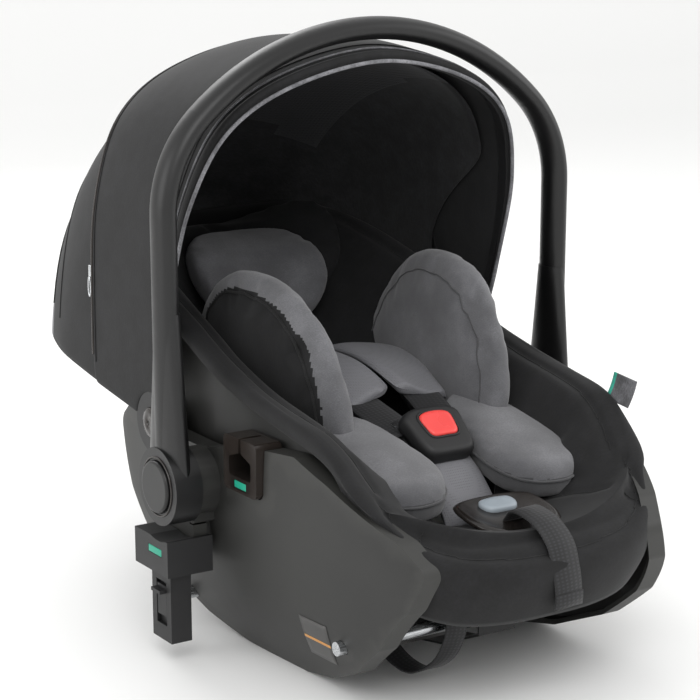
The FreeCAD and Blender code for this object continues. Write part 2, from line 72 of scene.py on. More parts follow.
def back_point(s, n):
    """(y, z) on the backrest: s up from the crease, n out towards the child."""
    c, d = math.cos(RECLINE), math.sin(RECLINE)
    return 40 + c * s - d * n, 72 + d * s + c * n


def smoothstep(a, b, x):
    t = min(max((x - a) / (b - a), 0.0), 1.0)
    return t * t * (3 - 2 * t)


def spline(points, count, closed=False):
    """Evenly spread points on a Catmull-Rom curve through the given ones."""
    pts = [Vector(p) for p in points]
    n = len(pts)
    spans = n if closed else n - 1
    fine = []
    for i in range(spans * 24 + (0 if closed else 1)):
        k, t = min(i // 24, spans - 1), i / 24 - min(i // 24, spans - 1)
        if closed:
            a, b, c, d = (pts[(k + j) % n] for j in (-1, 0, 1, 2))
        else:
            a, b, c, d = (pts[min(max(k + j, 0), n - 1)] for j in (-1, 0, 1, 2))
        fine.append(0.5 * (2 * b + (c - a) * t + (2 * a - 5 * b + 4 * c - d) * t * t
                           + (3 * b - a - 3 * c + d) * t ** 3))
    if closed:
        fine.append(fine[0])
    run = [0.0]
    for p, q in zip(fine, fine[1:]):
        run.append(run[-1] + (q - p).length)
    out, k = [], 0
    steps = count if closed else count - 1
    for i in range(count):
        goal = run[-1] * i / steps
        while k < len(run) - 2 and run[k + 1] < goal:
            k += 1
        out.append(fine[k].lerp(fine[k + 1], (goal - run[k]) / max(run[k + 1] - run[k], 1e-9)))
    return out


def link(name, mesh, *materials):
    for m in materials:
        mesh.materials.append(m)
    obj = bpy.data.objects.new(name, mesh)
    bpy.context.scene.collection.objects.link(obj)
    return obj


def make_mesh(name, verts, faces, *materials, uvs=None):
    mesh = bpy.data.meshes.new(name)
    mesh.from_pydata([tuple(v) for v in verts], [], faces)
    mesh.polygons.foreach_set("use_smooth", [True] * len(mesh.polygons))
    if uvs:
        layer = mesh.uv_layers.new(name="cloth")
        for loop in mesh.loops:
            layer.data[loop.index].uv = uvs[loop.vertex_index]
    mesh.validate()
    bm = bmesh.new()
    bm.from_mesh(mesh)
    bmesh.ops.recalc_face_normals(bm, faces=bm.faces)
    bm.to_mesh(mesh)
    bm.free()
    return link(name, mesh, *materials)


def grid(name, rows, *materials, around=False, along=False, caps=False):
    """A quad mesh through rows of points; around joins each row's ends, along joins first and last row."""
    n, m = len(rows), len(rows[0])
    verts = [p for row in rows for p in row]
    faces = []
    for i in range(n if along else n - 1):
        for j in range(m if around else m - 1):
            a, b = i * m + j, i * m + (j + 1) % m
            c, d = ((i + 1) % n) * m + (j + 1) % m, ((i + 1) % n) * m + j
            faces.append((a, b, c, d))
    if caps:
        faces += [tuple(range(m))[::-1], tuple(range((n - 1) * m, n * m))]
    across = [0.0]
    mid = rows[n // 2]
    for p, q in zip(mid, mid[1:]):
        across.append(across[-1] + (q - p).length * 1000)
    down = [0.0]
    for r, s in zip(rows, rows[1:]):
        down.append(down[-1] + (s[m // 2] - r[m // 2]).length * 1000)
    uvs = [(across[j], down[i]) for i in range(n) for j in range(m)]
    return make_mesh(name, verts, faces, *materials, uvs=uvs)


def modifier(obj, kind, **settings):
    mod = obj.modifiers.new(kind.lower(), kind)
    for key, value in settings.items():
        setattr(mod, key, value)
    return mod


def apply_modifiers(obj):
    """Bakes what the modifiers give into the mesh."""
    graph = bpy.context.evaluated_depsgraph_get()
    mesh = bpy.data.meshes.new_from_object(obj.evaluated_get(graph))
    obj.modifiers.clear()
    old = obj.data
    obj.data = mesh
    bpy.data.meshes.remove(old)


def finish_piece(obj, body, slot, *replaced, fill=None):
    """Sends a piece to its body and hides the imported parts that it replaces; the finish given as slot is not
    used.
    """
    if replaced:
        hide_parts(*replaced)
    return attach(obj, body)


def cord_line(name, points, radius, material, body, slot, closed=False, *replaced):
    """Piping, stitching or wire: a round line along points."""
    curve = bpy.data.curves.new(name, "CURVE")
    curve.dimensions = "3D"
    curve.bevel_depth = radius / 1000
    curve.bevel_resolution = 3
    curve.use_fill_caps = True
    line = curve.splines.new("POLY")
    line.points.add(len(points) - 1)
    for p, q in zip(line.points, points):
        p.co = (*q, 1)
    line.use_cyclic_u = closed
    line.use_smooth = True
    curve.materials.append(material)
    obj = bpy.data.objects.new(name, curve)
    bpy.context.scene.collection.objects.link(obj)
    return finish_piece(obj, body, slot, *replaced)


def sewn(name, obj, points, radius, material, body, slot, closed=False, lift=0.2):
    """A line of thread or piping laid on a piece: each point drops to the nearest surface."""
    skin = obj.evaluated_get(bpy.context.evaluated_depsgraph_get())
    line = []
    for p in points:
        found, spot, normal, _ = skin.closest_point_on_mesh(p)
        if not found:
            raise RuntimeError(f"{name}: nothing to sew it on")
        line.append(spot + normal * lift / 1000)
    return cord_line(name, line, radius, material, body, slot, closed)


def rounded_block(name, x0, x1, y0, y1, z0, z1, radius, material, segments=4):
    """A bevelled moulding between two corners, in the seat's millimetres."""
    bm = bmesh.new()
    bmesh.ops.create_cube(bm, size=1)
    for v in bm.verts:
        v.co = mm(*(lo if c < 0 else hi for c, lo, hi in zip(v.co, (x0, y0, z0), (x1, y1, z1))))
    bmesh.ops.bevel(bm, geom=list(bm.edges), offset=radius / 1000, segments=segments, affect="EDGES",
        profile=0.5)
    mesh = bpy.data.meshes.new(name)
    bm.to_mesh(mesh)
    bm.free()
    mesh.polygons.foreach_set("use_smooth", [True] * len(mesh.polygons))
    return link(name, mesh, material)


def swell(obj, voxel=5.0, pressure=4.0, cap=9.0, frames=16):
    """Stuffing: the shape is remeshed and blown up as cloth, by no more than cap millimetres."""
    modifier(obj, "REMESH", mode="VOXEL", voxel_size=voxel / 1000, use_smooth_shade=True)
    apply_modifiers(obj)
    rest = [v.co.copy() for v in obj.data.vertices]
    cloth = modifier(obj, "CLOTH")
    s = cloth.settings
    s.use_pressure = True
    s.uniform_pressure_force = pressure
    s.mass = 0.25
    s.tension_stiffness = s.compression_stiffness = 18
    s.bending_stiffness = 1.2
    s.effector_weights.gravity = 0
    cloth.point_cache.frame_start, cloth.point_cache.frame_end = 1, frames
    scene = bpy.context.scene
    for k in range(1, frames + 1):
        scene.frame_set(k)
    apply_modifiers(obj)
    for v, old in zip(obj.data.vertices, rest):
        move = v.co - old
        if move.length > cap / 1000:
            v.co = old + move.normalized() * cap / 1000
    scene.frame_set(1)


def pillow(name, outline, place, thick, crown_front, crown_back, *materials, rings=9):
    """A padded leaf: two crowned faces over one outline, joined by a rounded side.
    outline is a closed loop of (u, v); place turns (u, v, w) into a point of the frame."""
    count = len(outline)
    cu = sum(p[0] for p in outline) / count
    cv = sum(p[1] for p in outline) / count
    rows = []

    def ring(t, w):
        return [place(cu + (p[0] - cu) * t, cv + (p[1] - cv) * t, w) for p in outline]

    for i in range(rings + 1):
        t = 0.04 + 0.9 * i / rings
        rows.append(ring(t, thick / 2 + crown_front * (1 - t ** 2.6)))
    for k in range(1, 6):
        a = math.pi * k / 6
        rows.append(ring(0.94 + 0.06 * math.sin(a), thick / 2 * math.cos(a)))
    for i in range(rings, -1, -1):
        t = 0.04 + 0.9 * i / rings
        rows.append(ring(t, -thick / 2 - crown_back * (1 - t ** 2.6)))
    return grid(name, rows, *materials, around=True, caps=True)


def crease(obj, line, depth, width):
    """Pulls a sewn channel into a pad: vertices near the line move inwards along their normals."""
    tree = kdtree.KDTree(len(line))
    for i, p in enumerate(line):
        tree.insert(p, i)
    tree.balance()
    for v in obj.data.vertices:
        near = tree.find(v.co)[2] * 1000
        if near < width * 2.2:
            v.co -= v.normal * depth / 1000 * math.exp(-(near / width) ** 2)


def ribbon(name, path, width, thick, material, side=Vector((1, 0, 0)), rounding=0.3):
    """Webbing: a flat band along a path of points, its width lying along side."""
    rows = []
    for i, p in enumerate(path):
        run = (path[min(i + 1, len(path) - 1)] - path[max(i - 1, 0)]).normalized()
        across = side[i] if isinstance(side, list) else side
        across = (across - run * across.dot(run)).normalized()
        up = run.cross(across)
        w = (width[i] if isinstance(width, list) else width) / 2000
        h = thick / 2000
        e = min(rounding * thick / 1000, w)
        section = [(-w, -h * 0.3), (-w + e, -h), (0, -h), (w - e, -h), (w, -h * 0.3), (w, h * 0.3),
                   (w - e, h), (0, h), (-w + e, h), (-w, h * 0.3)]
        rows.append([p + across * a + up * b for a, b in section])
    return grid(name, rows, material, around=True, caps=True)


# ---------------------------------------------------------------- materials
def linear(code):
    """An sRGB hex colour as linear RGBA."""
    parts = [int(code[i:i + 2], 16) / 255 for i in (1, 3, 5)]
    return tuple(c / 12.92 if c <= 0.04045 else ((c + 0.055) / 1.055) ** 2.4 for c in parts) + (1.0,)


def add(tree, kind, links=(), **settings):
    """Adds a node: settings are properties or inputs, links are (output socket, input name)."""
    item = tree.nodes.new(kind)
    for key, value in settings.items():
        name = key.replace("_", " ")
        if hasattr(item, key):
            setattr(item, key, value)
        else:
            item.inputs[int(key[2:]) if key.startswith("in") and key[2:].isdigit() else name].default_value = value
    for socket, name in links:
        tree.links.new(socket, item.inputs[name])
    return item


def ramp(tree, source, *stops):
    item = add(tree, "ShaderNodeValToRGB", [(source, "Fac")])
    item.color_ramp.elements[0].position, item.color_ramp.elements[0].color = stops[0][0], linear(stops[0][1])
    item.color_ramp.elements[1].position, item.color_ramp.elements[1].color = stops[-1][0], linear(stops[-1][1])
    for place, code in stops[1:-1]:
        item.color_ramp.elements.new(place).color = linear(code)
    return item.outputs["Color"]


def start(name, **shader):
    """A new node material with its Principled shader's fixed values."""
    material = bpy.data.materials.new(name)
    material.use_nodes = True
    tree = material.node_tree
    body = tree.nodes["Principled BSDF"]
    for key, value in shader.items():
        body.inputs[key.replace("_", " ")].default_value = value
    return material, tree, body


def bump(tree, body, height, strength, distance_mm):
    item = add(tree, "ShaderNodeBump", [(height, "Height")], Strength=strength, Distance=distance_mm / 1000)
    tree.links.new(item.outputs["Normal"], body.inputs["Normal"])
    return item


def moulded(name, dark, light, rough, grain_mm, grain_depth=0.25):
    """Injection-moulded plastic: spark-eroded grain, faint flow mottling, and a painted highlight that lightens
    the convex edges.
    """
    material, tree, body = start(name, IOR=1.49)
    place = add(tree, "ShaderNodeTexCoord").outputs["Object"]
    grain = add(tree, "ShaderNodeTexNoise", [(place, "Vector")], Scale=1000 / grain_mm, Detail=2.0)
    cloud = add(tree, "ShaderNodeTexNoise", [(place, "Vector")], Scale=9.0, Detail=4.0)
    edge = add(tree, "ShaderNodeNewGeometry").outputs["Pointiness"]
    # painted highlight: convex edges, found by pointiness, are drawn lighter
    edge_highlight = add(tree, "ShaderNodeMapRange", [(edge, "Value")],
        **{"From_Min": 0.52, "From_Max": 0.6, "To_Min": 0.0, "To_Max": 0.5})
    both = add(tree, "ShaderNodeMath", [(cloud.outputs[0], 0), (edge_highlight.outputs[0], 1)], operation="ADD")
    tree.links.new(ramp(tree, both.outputs[0], (0.3, dark), (0.85, light)), body.inputs["Base Color"])
    polish = add(tree, "ShaderNodeMapRange", [(cloud.outputs[0], "Value")],
                 **{"From_Min": 0.3, "From_Max": 0.7, "To_Min": rough - 0.05, "To_Max": rough + 0.07})
    tree.links.new(polish.outputs[0], body.inputs["Roughness"])
    bump(tree, body, grain.outputs[0], grain_depth, 0.15)
    return material


def woven(name, dark, light, thread_mm, rough=0.88, sheen=0.06, lift=0.3):
    """Woven cloth: crossing threads drawn in the cloth's own coordinates, with slubs and soft shading."""
    material, tree, body = start(name, Roughness=rough, Sheen_Weight=sheen, Sheen_Roughness=0.5)
    place = add(tree, "ShaderNodeTexCoord").outputs["Object"]
    waves = [
        add(tree, "ShaderNodeTexNoise",
            [(add(tree, "ShaderNodeMapping", [(place, "Vector")], Scale=axis).outputs[0], "Vector")],
            Scale=300 / thread_mm, Detail=2.0).outputs[0]
        for axis in ((1, 1, 4), (4, 4, 1), (1, 4, 1))
    ]
    one = add(tree, "ShaderNodeMath", [(waves[0], 0), (waves[1], 1)], operation="MULTIPLY")
    two = add(tree, "ShaderNodeMath", [(one.outputs[0], 0), (waves[2], 1)], operation="ADD")
    slub = add(tree, "ShaderNodeTexNoise", [(place, "Vector")], Scale=60.0, Detail=5.0)
    mix = add(tree, "ShaderNodeMath", [(two.outputs[0], 0), (slub.outputs[0], 1)], operation="MULTIPLY")
    tree.links.new(ramp(tree, mix.outputs[0], (0.25, dark), (0.62, light)), body.inputs["Base Color"])
    bump(tree, body, two.outputs[0], lift, 0.3)
    return material


def melange(name, dark, mid, light, squeeze=(1.0, 1.0, 5.0)):
    """Melange jersey: light and dark fibres knitted together, seen as short streaks along the wales."""
    material, tree, body = start(name, Roughness=0.92, Sheen_Weight=0.25, Sheen_Roughness=0.6)
    place = add(tree, "ShaderNodeTexCoord").outputs["Object"]
    turned = add(tree, "ShaderNodeMapping", [(place, "Vector")], Scale=squeeze)
    # fibre flecks are about 0.3 mm; drawn at 0.9 mm so that they show
    fleck = add(tree, "ShaderNodeTexNoise", [(turned.outputs[0], "Vector")], Scale=620.0, Detail=3.0,
        Roughness=0.7)
    cloud = add(tree, "ShaderNodeTexNoise", [(place, "Vector")], Scale=26.0, Detail=3.0)
    mix = add(tree, "ShaderNodeMath", [(fleck.outputs[0], 0), (cloud.outputs[0], 1)], operation="ADD")
    half = add(tree, "ShaderNodeMath", [(mix.outputs[0], 0)], operation="MULTIPLY")
    half.inputs[1].default_value = 0.5
    tree.links.new(ramp(tree, half.outputs[0], (0.22, dark), (0.5, mid), (0.8, light)),
        body.inputs["Base Color"])
    bump(tree, body, fleck.outputs[0], 0.3, 0.25)
    return material


def air_mesh(name, hole, thread, pitch_mm):
    """Spacer mesh: round holes in rows between shiny threads."""
    material, tree, body = start(name, Roughness=0.7, Sheen_Weight=0.1)
    place = add(tree, "ShaderNodeTexCoord").outputs["Object"]
    cell = add(tree, "ShaderNodeTexVoronoi", [(place, "Vector")], Scale=1000 / pitch_mm, Randomness=0.15)
    tree.links.new(ramp(tree, cell.outputs["Distance"], (0.1, hole), (0.3, thread)),
        body.inputs["Base Color"])
    bump(tree, body, cell.outputs["Distance"], 0.6, 0.5)
    return material


def ribbed(name, dark, light, rib_mm):
    """Harness webbing: close ribs across the band, in the band's own coordinates."""
    material, tree, body = start(name, Roughness=0.62, Sheen_Weight=0.1)
    place = add(tree, "ShaderNodeUVMap", uv_map="cloth").outputs["UV"]
    rib = add(tree, "ShaderNodeTexWave", [(place, "Vector")], bands_direction="Y", Scale=1 / rib_mm / 6.283,
        Distortion=0.4)
    cross = add(tree, "ShaderNodeTexWave", [(place, "Vector")], bands_direction="X", Scale=1 / rib_mm / 9.0,
        Distortion=1.2)
    mix = add(tree, "ShaderNodeMath", [(rib.outputs["Fac"], 0), (cross.outputs["Fac"], 1)],
        operation="MULTIPLY")
    tree.links.new(ramp(tree, mix.outputs[0], (0.0, dark), (1.0, light)), body.inputs["Base Color"])
    bump(tree, body, mix.outputs[0], 0.5, 0.4)
    return material


def steel(name, colour, rough, brush_mm):
    """Drawn and plated steel bar: bright, with fine scratches along it."""
    material, tree, body = start(name, Metallic=1.0)
    place = add(tree, "ShaderNodeTexCoord").outputs["Object"]
    drawn = add(tree, "ShaderNodeMapping", [(place, "Vector")], Scale=(1.0, 14.0, 14.0))
    line = add(tree, "ShaderNodeTexNoise", [(drawn.outputs[0], "Vector")], Scale=1000 / brush_mm / 14,
        Detail=3.0)
    tree.links.new(ramp(tree, line.outputs[0], (0.3, colour), (0.7, "#E4E6E8")), body.inputs["Base Color"])
    rub = add(tree, "ShaderNodeMapRange", [(line.outputs[0], "Value")],
        **{"To_Min": rough - 0.05, "To_Max": rough + 0.12})
    tree.links.new(rub.outputs[0], body.inputs["Roughness"])
    return material


M = {}


def make_materials(p):
    # Polypropylene, moulded with a fine spark grain: dark charcoal with a satin bloom.
    M["shell"] = moulded("Moulded polypropylene charcoal", p.shell_dark, p.shell_light, 0.46, 1.1)
    # Glass-filled nylon, moulded: blacker and a little glossier, from handling.
    M["handle"] = moulded("Moulded nylon black", p.handle_dark, p.handle_light, 0.36, 0.9, 0.14)
    # ABS, moulded with a matt grain, for clips and guides.
    M["clip"] = moulded("Moulded ABS matt black", "#0E0E0F", "#1C1C1D", 0.5, 0.8)
    # Polished ABS trim over the panel's shoulder: glossy, warm black.
    M["trim"] = moulded("Polished ABS trim", "#141211", "#2A2522", 0.2, 2.0, 0.05)
    # Woven polyester over foam: deep black, dull, with a faint sheen at glancing angles.
    M["cover"] = woven("Woven polyester cover black", p.cover_dark, p.cover_light, 1.3)
    M["hood"] = woven("Plain weave hood polyester", "#060607", "#161618", 1.1, 0.85, 0.06, 0.3)
    M["lining"] = woven("Hood lining jersey", "#0D0D0E", "#232326", 1.6, 0.9, 0.1, 0.3)
    M["melange"] = melange("Melange jersey grey", p.inlay_dark, p.inlay_mid, p.inlay_light)
    # The inlay's melange drawn darker as painted shade: on the thigh pads' undersides and in the piping sewn on
    # the pads.
    M["melange_dark"] = melange("Melange jersey dark grey", "#29292B", "#3A3A3C", "#525255")
    M["melange_mesh"] = air_mesh("Melange diagonal mesh", "#4C4C4E", "#727276", 1.8)
    M["window"] = air_mesh("Ventilation mesh black", "#060606", "#2B2B2D", 2.8)
    M["rear_mesh"] = air_mesh("Air mesh dark grey", "#3E3E41", "#77777B", 2.2)
    M["piping"] = woven("Grey edge binding", "#5C5C5F", "#8E8E92", 0.9)
    M["thread"] = woven("Sewing thread black", "#050505", "#1A1A1B", 0.6)
    M["webbing"] = ribbed("Polyester webbing black", "#0B0B0C", "#26262A", 1.5)
    M["steel"] = steel("Zinc plated steel", "#9A9DA0", 0.22, 0.8)
    M["red"] = moulded("Gloss ABS red", "#D8322F", "#F5504C", 0.25, 3.0, 0.03)
    M["grey_key"] = moulded("Moulded ABS blue grey", "#7F8991", "#9AA3AA", 0.34, 1.2, 0.1)
    M["green"] = moulded("Moulded ABS green", "#0F7D66", "#1FA184", 0.4, 1.5, 0.1)
    M["label"] = moulded("Printed film dark grey", "#343433", "#474645", 0.3, 3.0, 0.05)
    M["orange"] = moulded("Printed film orange", "#B5793A", "#D49A55", 0.35, 3.0, 0.05)
    M["tag"] = woven("Woven tape grey", "#4A4A4C", "#747478", 0.9)
    M["teal"] = woven("Woven tape teal", "#1D9A82", "#44C2AA", 0.9)
    M["foam"] = moulded("Expanded polystyrene", "#C9C9C6", "#E6E6E3", 0.75, 4.0, 0.6)


# ---------------------------------------------------------------- settings
def colour(name, words, code):
    return bpy.props.StringProperty(name=name, description=words, default=code)


class CarSeatFinish(bpy.types.PropertyGroup):
    """The finishes that a user would change."""
    # the light colours of shell and handle also carry the painted highlight on their convex edges
    shell_dark: colour("Shell dark", "Shell plastic in its hollows, sRGB hex", "#191918")
    shell_light: colour("Shell light", "Shell plastic on its crowns, sRGB hex", "#2C2C2A")
    handle_dark: colour("Handle dark", "Handle plastic in its hollows, sRGB hex", "#070707")
    handle_light: colour("Handle light", "Handle plastic on its crowns, sRGB hex", "#111112")
    cover_dark: colour("Cover dark", "Cover cloth between its threads, sRGB hex", "#050506")
    cover_light: colour("Cover light", "Cover cloth on its threads, sRGB hex", "#131315")
    inlay_dark: colour("Inlay dark", "Dark fibres of the inlay, sRGB hex", "#3C3C3F")
    inlay_mid: colour("Inlay middle", "Middle fibres of the inlay, sRGB hex", "#565659")
    inlay_light: colour("Inlay light", "Light fibres of the inlay, sRGB hex", "#7E7E82")


class CarSeatSizes(bpy.types.PropertyGroup):
    """The sizes that a user would change."""
    piping: bpy.props.FloatProperty(name="Piping",
        description="Radius of the hood's piping, in millimetres", default=1.7, min=0.5, max=4)
    webbing: bpy.props.FloatProperty(name="Webbing",
        description="Width of the harness webbing, in millimetres", default=36, min=20, max=50)
    key_light: bpy.props.FloatProperty(name="Key light", description="Power of the key light", default=26,
        min=0, max=500, unit="POWER")
    fill_light: bpy.props.FloatProperty(name="Fill light", description="Power of the fill light",
        default=14, min=0, max=500, unit="POWER")


def finishes():
    if not M:
        make_materials(bpy.context.scene.car_seat_finish)
    return M


def sizes():
    return bpy.context.scene.car_seat_sizes


class CARSEAT_OT_stage(bpy.types.Operator):
    """Adds the camera, the floor and the studio lights"""
    bl_idname = "carseat.stage"
    bl_label = "Camera, floor and lights"

    def execute(self, context):
        scene = context.scene
        azimuth, elevation = math.radians(-33), math.radians(14)
        back = Vector((math.sin(azimuth) * math.cos(elevation), -math.cos(azimuth) * math.cos(elevation),
            math.sin(elevation)))
        right = Vector((math.cos(azimuth), math.sin(azimuth), 0))
        up = back.cross(right)
        data = bpy.data.cameras.new("camera")
        data.lens, data.sensor_width = 105.9, 36
        data.shift_y = 0.0686
        camera = bpy.data.objects.new("camera", data)
        scene.collection.objects.link(camera)
        place = mm(0, AXLE_Y, PIVOT_Z) + back * 1.870 + right * -0.018 + up * 0.047
        camera.matrix_world = Matrix.Translation(place) @ Matrix((right, up, back)).transposed().to_4x4()
        scene.camera = camera

        material, tree, body = start("Matt white floor paint", Roughness=0.6)
        spot = add(tree, "ShaderNodeTexNoise", Scale=3.0)
        tree.links.new(ramp(tree, spot.outputs[0], (0.3, "#F1F1F0"), (0.7, "#F6F6F5")),
            body.inputs["Base Color"])
        rows = []
        for i in range(25):
            t = i / 24
            y = -6 + 12 * t
            z = 0.0 if y < 3 else (y - 3) ** 2 * 0.35
            rows.append([Vector((x, y, z)) for x in (-9, -3, 3, 9)])
        floor = grid("studio_floor", rows, material)

        world = bpy.data.worlds.new("studio")
        world.use_nodes = True
        world.node_tree.nodes["Background"].inputs["Color"].default_value = linear("#FFFFFF")
        world.node_tree.nodes["Background"].inputs["Strength"].default_value = 1.0
        scene.world = world
        for name, spot, aim, wide, watts in (
            ("key_light", (-1.3, -1.9, 2.3), (0, 0, 0.2), 1.6, sizes().key_light),
            ("fill_light", (2.2, -1.2, 1.3), (0, 0, 0.2), 1.8, sizes().fill_light),
            ("rim_light", (0.3, 2.0, 1.9), (0, 0, 0.35), 1.6, 20.0),
            ("side_light", (-2.2, 0.3, 0.9), (0, 0, 0.2), 1.2, 10.0),
        ):
            lamp = bpy.data.lights.new(name, "AREA")
            lamp.shape, lamp.size, lamp.energy = "SQUARE", wide, watts
            obj = bpy.data.objects.new(name, lamp)
            scene.collection.objects.link(obj)
            obj.location = spot
            obj.rotation_euler = (Vector(aim) - Vector(spot)).to_track_quat("-Z", "Y").to_euler()
        scene.view_settings.view_transform = "Standard"
        return {"FINISHED"}


class CARSEAT_OT_plastics(bpy.types.Operator):
    """Gives the moulded and metal parts their finishes, and adds labels and markers"""
    bl_idname = "carseat.plastics"
    bl_label = "Moulded parts"

    def execute(self, context):
        m = finishes()
        table = {
            "shell": ("seat_shell", "side_panel_left", "side_panel_right"),
            "trim": ("belt_guide_left", "belt_guide_right"),
            "handle": ("handle_bail", "handle_button_left", "handle_button_right"),
            "clip": ("adapter_body_left", "adapter_body_right", "adapter_lever_left", "adapter_lever_right",
                     "handle_lock_gear_left", "handle_lock_gear_right", "adjuster_clamp", "headrest_board",
                     "hood_rear_bow", "hood_front_bow"),
            "steel": ("base_bar_front", "base_bar_rear", "handle_axle_left", "handle_axle_right",
                "harness_yoke",
                      "handle_lock_spring_left", "handle_lock_spring_right", "buckle_tongue_left",
                      "buckle_tongue_right"),
            "foam": ("foam_liner",),
            "webbing": ("harness_tail_strap",),
        }
        for key, names in table.items():
            for name in names:
                obj = NODES[name]
                obj.data.materials.clear()
                obj.data.materials.append(m[key])
        for word, side in SIDES:
            low, high = sorted((side * 171.4, side * 172.9))
            marker = rounded_block(f"belt_marker_{word}", low, high, -133.6, -114.4, 164.4, 170.6, 0.6,
                m["green"])
            finish_piece(marker, "shell", "shell_plastic")
            low, high = sorted((side * 216.9, side * 218.1))
            light = rounded_block(f"adapter_marker_{word}", low, high, -65.6, -42.4, 96.4, 102.6, 0.5,
                m["green"])
            finish_piece(light, f"adapter_{word}", "soft_black")
            ring = [mm(side * 217.4, AXLE_Y + 25.6 * math.cos(a), PIVOT_Z + 25.6 * math.sin(a))
                    for a in (math.tau * k / 64 for k in range(64))]
            cord_line(f"hub_ring_{word}", ring, 0.9, m["trim"], "handle", "handle_plastic", True)
            self.label(word, side, m)
        return {"FINISHED"}

    def label(self, word, side, m):
        """A blank printed film on the panel, following its surface, with one orange rule."""
        panel = NODES[f"side_panel_{word}"]

        def patch(name, y0, y1, z0, z1, lift, material):
            rows = []
            for i in range(9):
                row = []
                for j in range(9):
                    y, z = y0 + (y1 - y0) * i / 8, z0 + (z1 - z0) * j / 8
                    start_point = mm(side * 260, y, z)
                    hit, spot, _, _ = panel.ray_cast(start_point, Vector((-side, 0, 0)))
                    if not hit:
                        raise RuntimeError(f"{name}: no panel under the label")
                    row.append(spot + Vector((side * lift / 1000, 0, 0)))
                rows.append(row)
            piece = grid(name, rows, material)
            modifier(piece, "SOLIDIFY", thickness=0.0002, offset=0)
            return finish_piece(piece, "shell", "shell_plastic")

        patch(f"panel_label_{word}", -222, -184, 32, 68, 0.3, m["label"])
        patch(f"panel_label_rule_{word}", -221.5, -184.5, 48, 50.5, 0.55, m["orange"])


def hood_profile(grow):
    """Hood outline: (half width, radius) from the left foot over the top to the right foot."""
    r, w = HOOD_R + grow, HOOD_W + 0.35 * grow
    half = [(w, 27), (w, r * 0.42), (w * 0.965, r * 0.64), (w * 0.82, r * 0.83), (w * 0.5, r * 0.945), (0, r)]
    points = [(-x, q, 0) for x, q in half] + [(x, q, 0) for x, q in half[-2::-1]]
    return [(p.x, p.y) for p in spline(points, 121)]


def hood_point(x, r, degrees):
    a = math.radians(degrees)
    return mm(x, HOOD_Y + r * math.cos(a), HOOD_Z + r * math.sin(a))


def hood_skin(name, grow, first, last, material, rows=22, sag=5.0, seed=3):
    """One continuous hood cloth; first and last give the edge angle at each radius."""
    lines = []
    for k in range(rows + 1):
        t = k / rows
        line = []
        for x, r in hood_profile(grow):
            angle = first(r) + (last(r) - first(r)) * t
            up = smoothstep(60, 200, r)
            dip = sag * math.sin(math.pi * t) ** 1.5 * up
            ripple = 1.1 * noise.noise(Vector((x / 70 + seed, r / 60, angle / 16))) * math.sin(math.pi * t)
            scale = 1 - (dip - ripple) / max(r, 120)
            line.append(hood_point(x * (1 - 0.004 * dip * 0.3), r * scale, angle))
        lines.append(line)
    return grid(name, lines, material)


def edge_angle(y):
    """The angle at which a hood radius reaches the plane y, no lower than 8 degrees."""
    def angle(r):
        c = (y - HOOD_Y) / r
        return 8.0 if c >= math.cos(math.radians(8)) else math.degrees(math.acos(c))
    return angle


